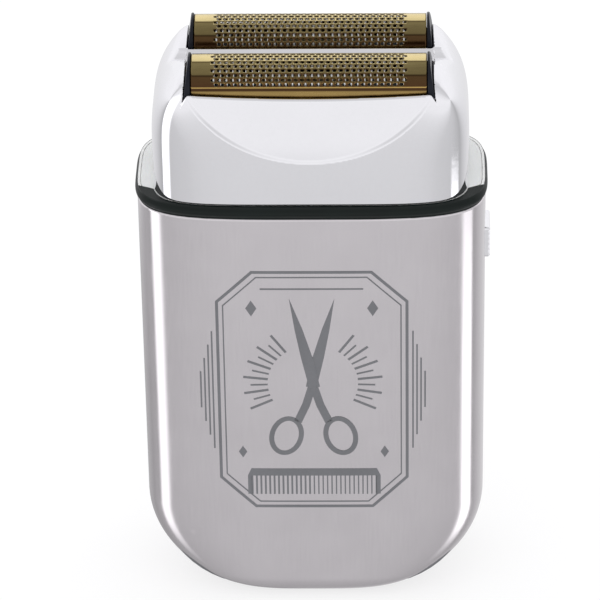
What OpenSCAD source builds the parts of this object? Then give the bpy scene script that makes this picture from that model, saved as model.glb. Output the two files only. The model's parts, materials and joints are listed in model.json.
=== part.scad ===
// Twin-foil shaver: a metal sleeve body with a lift-off foil head.
// The base centre is the origin. +Z is up, -Y is the front, +X is the side with the switch.

/* [Body] */
// Width of the body
body_w = 64; // [63.6:0.2:66]
// Depth of the body, front to back
body_d = 30; // [30:0.2:31]
// Height of the metal sleeve
body_h = 84.8; // [84:0.2:88]
// Thickness of the sleeve wall
sleeve_wall = 1.5; // [1.2:0.1:1.5]
// Height of the rubber band above the sleeve
band_h = 2.3; // [1.8:0.1:2.6]

/* [Head] */
// Half width of the head at its foot
head_a = 28.9; // [28.6:0.1:29.2]
// Half depth of the head at its foot
head_b = 14.3; // [14.2:0.1:14.4]
// Distance between the two foil crowns
foil_pitch = 15; // [14.9:0.1:15]
// Outer radius of a foil
foil_r = 4.6; // [4.5:0.05:4.65]
// Length of a foil along the head
foil_len = 42.3; // [41:0.1:42.3]
// How far a foil can be pressed down
foil_travel = 1.5; // [0.5:0.1:1.5]

/* [Drive] */
// How far the cutters move each way
stroke = 0.8; // [0.4:0.1:0.8]
// Number of blades in a cutter
blade_count = 32; // [16:1:36]
// Radius of the motor
motor_r = 10; // [8:0.5:10]

/* [Switch and button] */
// How far the switch slides up
switch_travel = 4.5; // [3:0.5:4.5]
// How far the release button goes in
button_travel = 1.2; // [0.6:0.1:1.2]

/* [Hidden] */
$fn = 64;

// Levels, from the base up
deck_z = body_h;
band_z = deck_z + band_h;
head_z = band_z + 0.1;
foil_z = deck_z + 25;
lip_z = foil_z - 1.2;
rail_z = foil_z - 3.4;
frame_z = foil_z - 6.3;
shelf_z = foil_z - 10.8;
ear_z = foil_z + 1.8;
bar_z = foil_z + 0.4;
cam_z = deck_z - 7.2;
bracket_z = deck_z - 9.6;
can_z = bracket_z - 31.2;

// Body section
body_power = 4;
foot_x = 10;
foot_z = 19.5;
foot_round = 4.5;
chassis_gap = 0.2;
chassis_wall = 1.2;
chassis_out = sleeve_wall + chassis_gap;
chassis_in = chassis_out + chassis_wall;
plug_h = 1.8;
band_out = 0.2;
band_in = 0.5;
deck_in = band_in + 0.05;

// Head section
head_power = 5;
head_wall_x = 1.5;
head_wall_y = 1.4;
shoulder_z = deck_z + 13.2;
ear_half = 24.2;
ear_arc = 16;
cut_half_x = 22.5;
cut_half_y = 5;
bar_half = 2.45;
bar_wall = 0.35;
foil_y = foil_pitch / 2;
lip_depth = 1.2;
scoop_half = 21.8;
scoop_h = 12.4;

// Foil and cutter
foil_wall = 0.3;
cap_w = 1;
cap_x = foil_len / 2 + 0.05;
blade_r = foil_r - foil_wall - 0.15;
blade_in = 3.3;
blade_half = 18.4;
blade_t = 0.4;
pin_r = 1.5;
cam_r = 2.6;
cam_t = 1.6;
cam_gap = 0.4;
bridge_h = 2 * cam_t + cam_gap;
leaf = [13, 8];
shaft_r = 1;
seal_r = 3.5;
seal_rim = 0.4;

// Fastener places
deck_screw = [24.5, 7];
bracket_screw = [20, 4];
chassis_screw = [26, 38];
chassis_step = 22;
frame_screw_x = 24.8;
motor_screw_x = 7;
board_screw = [[-6, 45], [6, 66]];
latch_x = 10;
board_x = 20;
board_t = 1.6;

// Switch, button and lens
switch_z = deck_z - 9.8;
slider_z = deck_z - 12.1;
button_z = deck_z - 8.8;
lens_z = 52;
lens_r = 1.1;
button_r = 4;
window_half = 5;
window_rise = 7;
socket_r = 3.7;
cell_z = 22;
cell_r = 9;
tab_top = cell_z + cell_r + 0.5;
lead_z = can_z - 2;
socket_y = 4;

// Curves
function signed_power(v, p) = sign(v) * pow(abs(v), p);

// Rounded rectangle with half sides a and b: the higher the power, the squarer
function oval(a, b, power, steps = 56) = [
    for (i = [0:steps - 1])
        let (t = 360 * i / steps)
        [a * signed_power(cos(t), 2 / power), b * signed_power(sin(t), 2 / power)]
];

function along(p, t) =
    len(p) == 1 ? p[0] : along([for (i = [0:len(p) - 2]) p[i] * (1 - t) + p[i + 1] * t], t);

function curve(p, steps = 18) = [for (i = [0:steps]) along(p, i / steps)];

function helix(r, h, turns, steps = 14) = [
    for (i = [0:turns * steps])
        [r * cos(360 * i / steps), r * sin(360 * i / steps), h * i / (turns * steps)]
];

function unit(v) = v / norm(v);

// Round wire of radius r along a path; side is never parallel to the path
module wire(path, r, side, sides = 6) {
    last = len(path) - 1;
    way = [for (i = [0:last]) unit(path[min(i + 1, last)] - path[max(i - 1, 0)])];
    points = [
        for (i = [0:last])
            let (a = unit(cross(side, way[i])), b = cross(way[i], a))
            for (k = [0:sides - 1])
                path[i] + r * (cos(360 * k / sides) * a + sin(360 * k / sides) * b)
    ];
    skin = [
        for (i = [0:last - 1], k = [0:sides - 1])
            let (n = (k + 1) % sides)
            [i * sides + k, (i + 1) * sides + k, (i + 1) * sides + n, i * sides + n]
    ];
    ends = [
        [for (k = [0:sides - 1]) k],
        [for (k = [sides - 1:-1:0]) last * sides + k]
    ];
    polyhedron(points, concat(skin, ends));
}

module coil(r, h, turns, thick) {
    translate([0, 0, thick / 2])
        wire(helix(r, h - thick, turns), thick / 2, [0, 0, 1]);
}

// Box given by its lowest and highest corners
module block(low, high) {
    translate(low) cube(high - low);
}

// Cylinder along Y from y0 to y1 at (x, z)
module rod_y(x, z, r, y0, y1) {
    translate([x, y0, z]) rotate([-90, 0, 0]) cylinder(r = r, h = y1 - y0);
}

// Cylinder along X from x0 to x1 at (y, z)
module rod_x(y, z, r, x0, x1) {
    translate([x0, y, z]) rotate([0, 90, 0]) cylinder(r = r, h = x1 - x0);
}

module rod_z(x, y, r, z0, z1) {
    translate([x, y, z0]) cylinder(r = r, h = z1 - z0);
}

// Plate with round ends, standing on the side of the body
module pill(half_w, z0, z1, x0, x1) {
    block([x0, -half_w, z0 + half_w], [x1, half_w, z1 - half_w]);
    rod_x(0, z0 + half_w, half_w, x0, x1);
    rod_x(0, z1 - half_w, half_w, x0, x1);
}

// Body volume, set in from its outer skin, from its floor up to top
module slab(inset, top) {
    a = body_w / 2 - inset;
    b = body_d / 2 - inset;
    run = body_w / 2 - foot_x - inset;
    rise = foot_z - inset;
    round_r = foot_round - inset;
    corner = [for (t = [0:6:90]) [foot_x + run * sin(t), foot_z - rise * cos(t)]];
    edge = [for (t = [0:15:90]) [b - round_r + round_r * sin(t), foot_round - round_r * cos(t)]];
    intersection() {
        linear_extrude(height = top) polygon(oval(a, b, body_power));
        rotate([90, 0, 0])
            linear_extrude(height = 2 * body_d, center = true)
            polygon(concat(corner, [[a, top], [-a, top]], [
                for (i = [len(corner) - 1:-1:0]) [-corner[i][0], corner[i][1]]
            ]));
        rotate([90, 0, 90])
            linear_extrude(height = 2 * body_w, center = true)
            polygon(concat(edge, [[b, top], [-b, top]], [
                for (i = [len(edge) - 1:-1:0]) [-edge[i][0], edge[i][1]]
            ]));
    }
}

// Casing
module body_sleeve() {
    color("gainsboro")
        difference() {
            slab(0, body_h);
            slab(sleeve_wall, body_h + 1);
            pill(window_half, switch_z - window_rise, switch_z + window_rise, 25, 40);
            rod_x(0, lens_z, lens_r + 0.05, 25, 40);
            rod_y(0, button_z, button_r + 0.1, 10, 20);
            rod_z(0, socket_y, socket_r + 0.1, -1, 5);
        }
}

module seal_band() {
    color("#101512")
        translate([0, 0, deck_z])
        linear_extrude(height = band_h)
        difference() {
            polygon(oval(body_w / 2 + band_out, body_d / 2 + band_out, body_power));
            polygon(oval(body_w / 2 - band_in, body_d / 2 - band_in, body_power));
        }
}

module latch_gaps(z0, z1) {
    for (side = [-1, 1])
        translate([side * latch_x, 0, 0])
            block([-2.3, 10.1, z0], [2.3, 12.8, z1]);
}

module top_deck() {
    color("whitesmoke")
        difference() {
            union() {
                translate([0, 0, deck_z])
                    linear_extrude(height = band_h)
                    polygon(oval(body_w / 2 - deck_in, body_d / 2 - deck_in, body_power));
                intersection() {
                    slab(chassis_out, deck_z + 0.01);
                    translate([-50, -50, deck_z - plug_h]) cube([100, 100, plug_h + 1]);
                }
                translate([0, 0, band_z - 0.01])
                    linear_extrude(height = 2.01)
                    difference() {
                        polygon(oval(27, 12.5, head_power));
                        polygon(oval(25.6, 11.1, head_power));
                    }
            }
            for (side = [-1, 1]) {
                rod_z(0, side * foil_y, seal_r, deck_z - 5, band_z + 5);
                rod_z(0, side * foil_y, seal_r + seal_rim + 0.1, band_z, band_z + 5);
            }
            for (x = [-1, 1], y = [-1, 1]) {
                rod_z(x * deck_screw[0], y * deck_screw[1], 1.1, deck_z - 5, band_z + 5);
                rod_z(x * deck_screw[0], y * deck_screw[1], 2, band_z - 1.2, band_z + 5);
                rod_z(x * bracket_screw[0], y * bracket_screw[1], 1.02, deck_z - 5, deck_z + 1);
            }
            latch_gaps(deck_z - 5, band_z + 5);
        }
}

// Cross-slotted screw along +Z with its head on top, seated at z = 0
module screw(r, head_r, head_h, shank) {
    difference() {
        union() {
            cylinder(r = head_r, h = head_h);
            translate([0, 0, -shank]) cylinder(r = r, h = shank);
        }
        for (a = [0, 90])
            rotate([0, 0, a])
                translate([-head_r * 0.65, -0.15, head_h * 0.5])
                cube([head_r * 1.3, 0.3, head_h]);
    }
}

module deck_screws() {
    color("silver")
        for (x = [-1, 1], y = [-1, 1])
            translate([x * deck_screw[0], y * deck_screw[1], band_z - 1.2])
                screw(1, 1.85, 1, 12);
}

module screw_post(x, y0, y1, top) {
    block([x - 2.4, y0, top - 11], [x + 2.4, y1, top]);
}

// One half of the inner chassis; side is -1 for the front half and 1 for the rear half
module chassis_half(side) {
    near = 0.025;
    top = deck_z - plug_h;
    boss_z = board_screw[side < 0 ? 0 : 1][1];
    difference() {
        union() {
            difference() {
                slab(chassis_out, top);
                slab(chassis_in, top + 1);
            }
            intersection() {
                slab(chassis_out, top);
                union() {
                    for (x = [-1, 1]) {
                        screw_post(x * deck_screw[0], -12, -4.6, top);
                        screw_post(x * deck_screw[0], 4.6, 12, top);
                        for (z = [0, chassis_step])
                            block(
                                [x * chassis_screw[0] - 2.2, -14, chassis_screw[1] + z - 2.2],
                                [x * chassis_screw[0] + 2.2, 14, chassis_screw[1] + z + 2.2]
                            );
                        for (y = [-1, 1])
                            block(
                                [x * 15 - 0.75, min(y * 5, y * 14), 1],
                                [x * 15 + 0.75, max(y * 5, y * 14), cell_z + 12]
                            );
                    }
                    for (z = [can_z + 6, can_z + 22], y = [-1, 1])
                        block(
                            [-17, min(y * 5, y * 14), z - 0.75],
                            [17, max(y * 5, y * 14), z + 0.75]
                        );
                    rod_x(side * 6, boss_z, 1.9, board_x + board_t, 31);
                }
            }
        }
        block([-40, side < 0 ? -near : -20, -1], [40, side < 0 ? 20 : near, 100]);
        rod_z(0, 0, motor_r + 0.15, can_z - 3, deck_z);
        rod_x(0, cell_z, cell_r + 0.1, -26, 26);
        rod_z(0, socket_y, 4.2, -1, 8);
        block([24.5, -6, switch_z - 7.5], [40, 6, switch_z + 7.5]);
        rod_x(0, lens_z, 1.4, 21, 40);
        rod_x(side * 6, boss_z, 0.82, board_x, 27);
        rod_y(0, button_z, 5.2, 10, 20);
        block([-12.3, 10.2, button_z], [12.3, 12.5, deck_z]);
        for (x = [-1, 1]) {
            for (y = [-1, 1])
                rod_z(x * deck_screw[0], y * deck_screw[1], 1.03, top - 11.5, top + 1);
            for (z = [0, chassis_step]) {
                rod_y(x * chassis_screw[0], chassis_screw[1] + z, 1.03, -8, 20);
                rod_y(x * chassis_screw[0], chassis_screw[1] + z, 2.1, 8.8, 20);
            }
        }
    }
}

module chassis_front() {
    color("#3a3d42") chassis_half(-1);
}

module chassis_rear() {
    color("#43464b") chassis_half(1);
}

module chassis_screws() {
    color("silver")
        for (x = [-1, 1], z = [0, chassis_step])
            translate([x * chassis_screw[0], 8.8, chassis_screw[1] + z])
                rotate([-90, 0, 0])
                screw(1, 1.9, 1.2, 16);
}

// Motor and its mounting
module motor_bracket() {
    color("lightgray")
        difference() {
            union() {
                block([-18.2, -10.3, bracket_z], [18.2, 10.3, bracket_z + 1.5]);
                for (x = [-1, 1]) {
                    block(
                        [min(x * 17, x * 18.2), -10.3, bracket_z],
                        [max(x * 17, x * 18.2), 10.3, deck_z - plug_h]
                    );
                    block(
                        [min(x * 17, x * 22), -6, deck_z - plug_h - 1.2],
                        [max(x * 17, x * 22), 6, deck_z - plug_h]
                    );
                }
            }
            rod_z(0, 0, 3.1, bracket_z - 1, bracket_z + 3);
            for (x = [-1, 1]) {
                rod_z(x * motor_screw_x, 0, 1.1, bracket_z - 1, bracket_z + 3);
                for (y = [-1, 1])
                    rod_z(x * bracket_screw[0], y * bracket_screw[1], 1.1, deck_z - 5, deck_z);
            }
        }
}

module bracket_screws() {
    color("silver")
        for (x = [-1, 1], y = [-1, 1])
            translate([x * bracket_screw[0], y * bracket_screw[1], deck_z - plug_h - 1.2])
                rotate([180, 0, 0])
                screw(1, 1.7, 0.9, 3.6);
}

module motor_screws() {
    color("silver")
        for (x = [-1, 1])
            translate([x * motor_screw_x, 0, bracket_z + 1.5])
                screw(1, 1.7, 0.7, 3);
}

module motor_can() {
    color("silver")
        difference() {
            union() {
                rod_z(0, 0, motor_r, can_z, bracket_z);
                rod_z(0, 0, 3, bracket_z - 1, bracket_z + 1.4);
            }
            rod_z(0, 0, motor_r - 0.8, can_z - 1, bracket_z - 1.8);
            rod_z(0, 0, shaft_r + 0.05, can_z, deck_z);
            for (x = [-1, 1])
                rod_z(x * motor_screw_x, 0, 1.02, bracket_z - 1.6, bracket_z + 1);
        }
}

module motor_magnets() {
    color("dimgray")
        difference() {
            rod_z(0, 0, motor_r - 0.85, can_z + 4, bracket_z - 4);
            rod_z(0, 0, motor_r - 2, can_z, bracket_z);
            block([-20, -2.5, can_z], [20, 2.5, bracket_z]);
        }
}

module motor_end_cap() {
    color("ivory")
        difference() {
            union() {
                rod_z(0, 0, motor_r, can_z - 2, can_z - 0.02);
                rod_z(0, 0, motor_r - 0.9, can_z - 2, can_z + 2);
            }
            rod_z(0, 0, motor_r - 3, can_z - 0.5, can_z + 3);
            rod_z(0, 0, shaft_r + 0.05, can_z - 1.2, can_z + 3);
            for (x = [-1, 1])
                block([x * 5 - 0.3, -1.5, can_z - 3], [x * 5 + 0.3, 1.5, can_z + 3]);
        }
}

module motor_terminals() {
    color("gold")
        for (x = [-1, 1])
            block([x * 5 - 0.25, -1.4, can_z - 4], [x * 5 + 0.25, 1.4, can_z + 1.5]);
}

module motor_shaft() {
    color("silver") rod_z(0, 0, shaft_r, can_z - 1, cam_z + bridge_h);
}

module motor_rotor() {
    color("peru")
        difference() {
            union() {
                for (a = [0:120:359])
                    rotate([0, 0, a]) {
                        block([0, -1.5, can_z + 5], [6, 1.5, bracket_z - 5]);
                        intersection() {
                            rod_z(0, 0, motor_r - 2.6, can_z + 5, bracket_z - 5);
                            block([4.5, -5, can_z + 5], [9, 5, bracket_z - 5]);
                        }
                    }
                rod_z(0, 0, 3, can_z + 3.5, bracket_z - 3.5);
            }
            rod_z(0, 0, shaft_r + 0.02, can_z, bracket_z);
        }
}

// Two eccentric discs a half turn apart, one for each bridge
module eccentric_cam() {
    color("white")
        difference() {
            union() {
                rod_z(stroke, 0, cam_r, cam_z, cam_z + cam_t);
                rod_z(-stroke, 0, cam_r, cam_z + cam_t + cam_gap, cam_z + bridge_h);
                rod_z(0, 0, 1.7, cam_z, cam_z + bridge_h);
            }
            rod_z(0, 0, shaft_r + 0.02, cam_z - 1, cam_z + 5);
        }
}

// Sliding bridge with a fork round its cam disc; side is -1 for the front one
module drive_bridge(side) {
    fork_z = side < 0 ? cam_z : cam_z + cam_t + cam_gap;
    slot = cam_r + 2 * stroke + 0.15;
    difference() {
        union() {
            block(
                [-15.5, min(side * 5, side * 10.1), cam_z],
                [15.5, max(side * 5, side * 10.1), cam_z + bridge_h]
            );
            for (x = [-1, 1])
                block(
                    [min(x * slot, x * (slot + 2)), min(side * 6, side * -3), fork_z],
                    [max(x * slot, x * (slot + 2)), max(side * 6, side * -3), fork_z + cam_t]
                );
        }
        rod_z(0, side * foil_y, pin_r + 0.02, cam_z + 1, cam_z + 5);
        for (x = [-1, 1])
            block(
                [x * leaf[0] - 1.2, side * leaf[1] - 1.6, cam_z - 1],
                [x * leaf[0] + 1.2, side * leaf[1] + 1.6, cam_z + 5]
            );
    }
}

module front_drive_bridge() {
    color("ghostwhite") drive_bridge(-1);
}

module rear_drive_bridge() {
    color("ghostwhite") drive_bridge(1);
}

module drive_pin(side) {
    translate([0, side * foil_y, 0]) {
        rod_z(0, 0, pin_r, cam_z + 1, foil_z - 5);
        rod_z(0, 0, 3, band_z + 3.4, band_z + 4.2);
    }
}

module front_drive_pin() {
    color("silver") drive_pin(-1);
}

module rear_drive_pin() {
    color("silver") drive_pin(1);
}

// Four spring leaves that hang from the deck into the slots of the bridges
module flexure_leaves() {
    color("silver")
        for (x = [-1, 1], y = [-1, 1])
            block(
                [x * leaf[0] - 0.15, y * leaf[1] - 1.4, cam_z + 0.6],
                [x * leaf[0] + 0.15, y * leaf[1] + 1.4, deck_z - plug_h]
            );
}

module pin_seal(side) {
    translate([0, side * foil_y, 0])
        difference() {
            union() {
                rod_z(0, 0, seal_r - 0.02, deck_z - 1, band_z);
                rod_z(0, 0, seal_r + seal_rim, band_z, band_z + 0.6);
                rod_z(0, 0, seal_r - 0.5, band_z + 0.5, band_z + 1.6);
            }
            rod_z(0, 0, pin_r + stroke + 0.1, deck_z - 2, band_z + 3);
        }
}

module front_pin_seal() {
    color("#202020") pin_seal(-1);
}

module rear_pin_seal() {
    color("#202020") pin_seal(1);
}

// Cutters
module cutter_spring(side) {
    spring_z = band_z + 4.22;
    translate([0, side * foil_y, spring_z]) coil(2.2, foil_z - 9.9 - spring_z, 5, 0.4);
}

module front_cutter_spring() {
    color("silver") cutter_spring(-1);
}

module rear_cutter_spring() {
    color("silver") cutter_spring(1);
}

module cutter_carrier(side) {
    translate([0, side * foil_y, 0])
        difference() {
            union() {
                block([-6, -3.2, foil_z - 9.8], [6, 3.2, foil_z - 5]);
                block([-blade_half, -4, foil_z - 5.2], [blade_half, 4, foil_z - 4]);
                block([-blade_half, -1.2, foil_z - 4.2], [blade_half, 1.2, foil_z - 1]);
            }
            rod_z(0, 0, pin_r + 0.05, foil_z - 12, foil_z - 3.2);
        }
}

module front_cutter_carrier() {
    color("#2a2c30") cutter_carrier(-1);
}

module rear_cutter_carrier() {
    color("#2a2c30") cutter_carrier(1);
}

// Half rings on two long rails
module cutter_blades(side) {
    pitch = (2 * blade_half - blade_t) / (blade_count - 1);
    translate([0, side * foil_y, foil_z]) {
        for (y = [-1, 1])
            block(
                [-blade_half, min(y * blade_in, y * blade_r), -4],
                [blade_half, max(y * blade_in, y * blade_r), -2.4]
            );
        for (i = [0:blade_count - 1])
            translate([-blade_half + i * pitch, 0, 0])
                rotate([90, 0, 90])
                linear_extrude(height = blade_t)
                difference() {
                    union() {
                        circle(r = blade_r);
                        translate([-blade_r, -3]) square([2 * blade_r, 3]);
                    }
                    circle(r = blade_in);
                    translate([-blade_in, -6]) square([2 * blade_in, 6]);
                }
    }
}

module front_cutter_blades() {
    color("lightsteelblue") cutter_blades(-1);
}

module rear_cutter_blades() {
    color("lightsteelblue") cutter_blades(1);
}

// Head
function shoulder(t) = ear_half + (head_a - ear_half) * sqrt(max(0, 1 - pow(t, 3)));

module head_block() {
    steps = 14;
    rise = ear_z - shoulder_z;
    curve_side = [
        for (i = [0:steps]) [shoulder(i / steps), shoulder_z + rise * i / steps]
    ];
    intersection() {
        translate([0, 0, head_z])
            linear_extrude(height = ear_z - head_z)
            polygon(oval(head_a, head_b, head_power));
        rotate([90, 0, 0])
            linear_extrude(height = 2 * body_d, center = true)
            polygon(concat([[head_a, 0]], curve_side, [
                for (i = [steps:-1:0]) [-curve_side[i][0], curve_side[i][1]]
            ], [[-head_a, 0]]));
        rotate([90, 0, 90])
            linear_extrude(height = 2 * body_w, center = true)
            union() {
                translate([-20, 0]) square([40, shoulder_z]);
                for (y = [-1, 1])
                    intersection() {
                        translate([y * foil_y, ear_z - ear_arc]) circle(r = ear_arc);
                        translate([-head_b, shoulder_z - 1]) square([2 * head_b, 20]);
                    }
            }
    }
}

// Shallow round-bottomed scoop in a wide face, leaning in towards the foils
module scoop() {
    scoop_r = (pow(scoop_half, 2) + pow(scoop_h, 2)) / (2 * scoop_h);
    translate([0, -head_b, lip_z - scoop_h])
        rotate([90 - atan(lip_depth / scoop_h), 0, 0])
        translate([0, scoop_r, 0])
        cylinder(r = scoop_r, h = 10, $fn = 128);
}

module head_shell() {
    inner_a = head_a - head_wall_x;
    inner_b = head_b - head_wall_y;
    color("whitesmoke")
        difference() {
            union() {
                difference() {
                    head_block();
                    translate([0, 0, head_z - 1])
                        linear_extrude(height = rail_z - 0.4 - head_z + 1)
                        polygon(oval(inner_a, inner_b, head_power));
                    block(
                        [-cut_half_x, -foil_y - cut_half_y, shelf_z],
                        [cut_half_x, foil_y + cut_half_y, ear_z + 1]
                    );
                    block([-cut_half_x, -20, lip_z], [cut_half_x, 20, ear_z + 1]);
                }
                difference() {
                    block(
                        [-cut_half_x - 2, -bar_half, shelf_z + 0.02],
                        [cut_half_x + 2, bar_half, bar_z]
                    );
                    block([-cut_half_x, -bar_half, 0], [cut_half_x, bar_wall - bar_half, rail_z]);
                    block([-cut_half_x, bar_half - bar_wall, 0], [cut_half_x, bar_half, rail_z]);
                }
                for (x = [-1, 1])
                    rod_z(x * frame_screw_x, 0, 2, shelf_z + 0.02, rail_z);
            }
            scoop();
            rotate([0, 0, 180]) scoop();
            for (x = [-1, 1])
                rod_z(x * frame_screw_x, 0, 0.92, shelf_z - 1, rail_z - 1);
            for (side = [-1, 1])
                translate([side * latch_x, 0, 0])
                    block([-2.6, 12, head_z - 1], [2.6, 13.5, head_z + 3.8]);
        }
}

module head_frame() {
    color("#26282c")
        difference() {
            translate([0, 0, shelf_z - 3])
                linear_extrude(height = 3)
                polygon(oval(27.2, 12.7, head_power));
            for (y = [-1, 1])
                block(
                    [-19.6, min(y * 2.3, y * 12), shelf_z - 4],
                    [19.6, max(y * 2.3, y * 12), shelf_z + 1]
                );
            for (x = [-1, 1]) {
                rod_z(x * frame_screw_x, 0, 1.05, shelf_z - 4, shelf_z + 1);
                rod_z(x * frame_screw_x, 0, 1.9, shelf_z - 4, shelf_z - 1.8);
            }
        }
}

module head_frame_screws() {
    color("silver")
        for (x = [-1, 1])
            translate([x * frame_screw_x, 0, shelf_z - 1.8])
                rotate([180, 0, 0])
                screw(0.9, 1.7, 0.9, 6.5);
}

// Foil: an arch with straight skirts
module foil(side) {
    translate([0, side * foil_y, foil_z])
        rotate([90, 0, 90])
        linear_extrude(height = foil_len, center = true)
        difference() {
            union() {
                circle(r = foil_r);
                translate([-foil_r, rail_z - foil_z]) square([2 * foil_r, foil_z - rail_z]);
            }
            circle(r = foil_r - foil_wall);
            translate([-foil_r + foil_wall, -10]) square([2 * (foil_r - foil_wall), 10]);
        }
}

module front_foil() {
    color("#c9a94e") foil(-1);
}

module rear_foil() {
    color("#c9a94e") foil(1);
}

// Frame under a foil, with an end cap at each end
module foil_frame(side) {
    translate([0, side * foil_y, 0])
        difference() {
            union() {
                block([-cap_x - cap_w, -4.85, frame_z], [cap_x + cap_w, 4.85, rail_z]);
                for (x = [-1, 1]) {
                    translate([x * (cap_x + cap_w / 2), 0, foil_z])
                        rotate([90, 0, 90])
                        linear_extrude(height = cap_w, center = true)
                        union() {
                            circle(r = foil_r + 0.15);
                            translate([-foil_r - 0.15, rail_z - foil_z - 1])
                                square([2 * foil_r + 0.3, foil_z - rail_z + 1]);
                        }
                    block([x * 22 - 1, -3, frame_z], [x * 22 + 1, 3, frame_z + 1.5]);
                }
            }
            block([-19.8, -4.3, frame_z - 1], [19.8, 4.3, rail_z + 1]);
        }
}

module front_foil_frame() {
    color("#15161a") foil_frame(-1);
}

module rear_foil_frame() {
    color("#15161a") foil_frame(1);
}

module foil_springs(side) {
    for (x = [-1, 1])
        translate([x * 21.6, side * foil_y, shelf_z + 0.02])
            coil(1.3, frame_z - shelf_z - 0.04, 4, 0.35);
}

module front_foil_springs() {
    color("silver") foil_springs(-1);
}

module rear_foil_springs() {
    color("silver") foil_springs(1);
}

// Head release
module release_button() {
    color("whitesmoke") {
        rod_y(0, button_z, button_r, 13.2, 15.8);
        rod_y(0, button_z, button_r + 0.7, 12.32, 13.2);
        rod_y(0, button_z, 1.5, 11.6, 12.4);
    }
}

module release_latch() {
    color("#303236")
        difference() {
            union() {
                block([-2.5, 11.6, button_z - 2.5], [2.5, 12.3, deck_z - 4]);
                block([-12, 11.6, deck_z - 4.2], [12, 12.3, deck_z - 2.2]);
                for (x = [-latch_x, latch_x]) {
                    block([x - 2, 11.6, deck_z - 4], [x + 2, 12.3, band_z + 3.2]);
                    block([x - 2, 12.2, band_z + 2.3], [x + 2, 13, band_z + 3.2]);
                }
            }
            rod_y(0, button_z, 1.52, 11, 13);
        }
}

module release_spring() {
    color("silver")
        translate([0, 10.45, button_z])
        rotate([-90, 0, 0])
        coil(1.9, 1.1, 2, 0.3);
}

// Slide switch
module switch_plate() {
    color("#8c8e92")
        difference() {
            pill(
                window_half - 0.05, switch_z - window_rise + 0.05,
                switch_z + window_rise - 0.05, 30.5, 31.3
            );
            block([28, -1.6, slider_z - 1.7], [34, 1.6, slider_z + switch_travel + 1.7]);
        }
}

module switch_slider() {
    color("gainsboro")
        difference() {
            union() {
                block([31.4, -3.4, slider_z - 3.2], [32.9, 3.4, slider_z + 3.2]);
                block([27.6, -1.4, slider_z - 1.5], [31.5, 1.4, slider_z + 1.5]);
            }
            for (i = [-2:2])
                block([32.5, -4, slider_z + i * 1.1 - 0.25], [34, 4, slider_z + i * 1.1 + 0.25]);
            block([27, -0.85, slider_z - 0.85], [28.6, 0.85, slider_z + 0.85]);
        }
}

module switch_nub() {
    color("white") block([25.7, -0.8, slider_z - 0.8], [28.4, 0.8, slider_z + 0.8]);
}

module switch_body() {
    color("dimgray")
        difference() {
            block([board_x + board_t, -3, slider_z - 4], [25.6, 3, slider_z + switch_travel + 4]);
            block([24.6, -1.2, slider_z - 1.2], [26, 1.2, slider_z + switch_travel + 1.2]);
        }
}

// Electronics
module circuit_board() {
    color("darkgreen")
        difference() {
            block([board_x, -9, 39.5], [board_x + board_t, 9, deck_z - 4.8]);
            for (place = board_screw)
                rod_x(place[0], place[1], 0.95, board_x - 1, board_x + 3);
        }
}

module board_parts() {
    color("#222222") {
        block([board_x - 1.2, -4, 50], [board_x, 2, 56]);
        block([board_x - 1.6, 3.5, 48], [board_x, 7.5, 52]);
        block([board_x - 1, -7, 60], [board_x, -3.5, 63]);
        for (i = [0:3])
            block([board_x - 0.7, 1 + 1.8 * i, 58.5], [board_x, 2 + 1.8 * i, 60.2]);
    }
}

module board_screws() {
    color("silver")
        for (place = board_screw)
            translate([board_x, place[0], place[1]])
                rotate([0, -90, 0])
                screw(0.8, 1.6, 0.8, 6.5);
}

module indicator_lens() {
    color("#dfe8ee", 0.6) rod_x(0, lens_z, lens_r, board_x + board_t + 0.1, body_w / 2 + 0.05);
}

module battery_cell() {
    color("#2f6f9f") {
        rod_x(0, cell_z, cell_r, -24.5, 24.5);
        rod_x(0, cell_z, 3, 24, 25.2);
    }
}

module battery_tabs() {
    color("silver") {
        block([25.22, -3, cell_z - 4], [25.5, 3, tab_top]);
        block([-24.8, -3, cell_z - 4], [-24.52, 3, tab_top]);
    }
}

module battery_leads() {
    start = tab_top + 0.3;
    color("firebrick") {
        wire(curve([
            [25.3, 1, start], [24.8, 1, start + 1.8], [22.4, 2, start + 1.8], [22.2, 3, 36],
            [22.2, 3, lead_z]
        ]), 0.5, [0, 1, 0]);
        wire(curve([
            [-24.7, 0, start], [-24.7, 0, 39], [0, -4, 34], [17, -6, 34], [19.4, -4, 38],
            [19.4, -4, lead_z]
        ]), 0.5, [0, 1, 0]);
    }
}

module motor_leads() {
    color("black") {
        wire(curve([
            [5, 0, can_z - 4.5], [5, 0, 34], [16, 0, 33], [19.4, -1.5, 36], [19.4, -1.5, lead_z]
        ]), 0.45, [0, 1, 0]);
        wire(curve([
            [-5, 0, can_z - 4.5], [-5, 3, 32], [10, 5, 34], [19.4, 2, 34], [19.4, 1, lead_z]
        ]), 0.45, [0, 1, 0]);
    }
}

module charge_socket() {
    color("#17181a")
        translate([0, socket_y, 0])
        difference() {
            union() {
                rod_z(0, 0, socket_r, 0.3, 3);
                rod_z(0, 0, socket_r - 0.3, 2, 10.5);
            }
            rod_z(0, 0, 2.4, 0, 9.3);
            rod_z(0, 0, 0.72, 9, 12);
        }
}

module charge_pin() {
    color("gold") {
        rod_z(0, socket_y, 0.7, 1.5, 11);
        rod_z(2.5, socket_y, 0.3, 10.52, 11);
    }
}

module charge_leads() {
    color("black")
        for (x = [0, 2.5])
            wire(curve([
                [x, socket_y + 0.2, 11.5], [x, socket_y + 4.6, 11.5],
                [x + 1, 13.4, 14], [x + 2, 8.8, 22], [x + 4, 12, 35],
                [19.3, 7, 36], [19.3, 7 - x / 2, 43]
            ], 24), 0.4, [1, 0, 0]);
}

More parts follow.
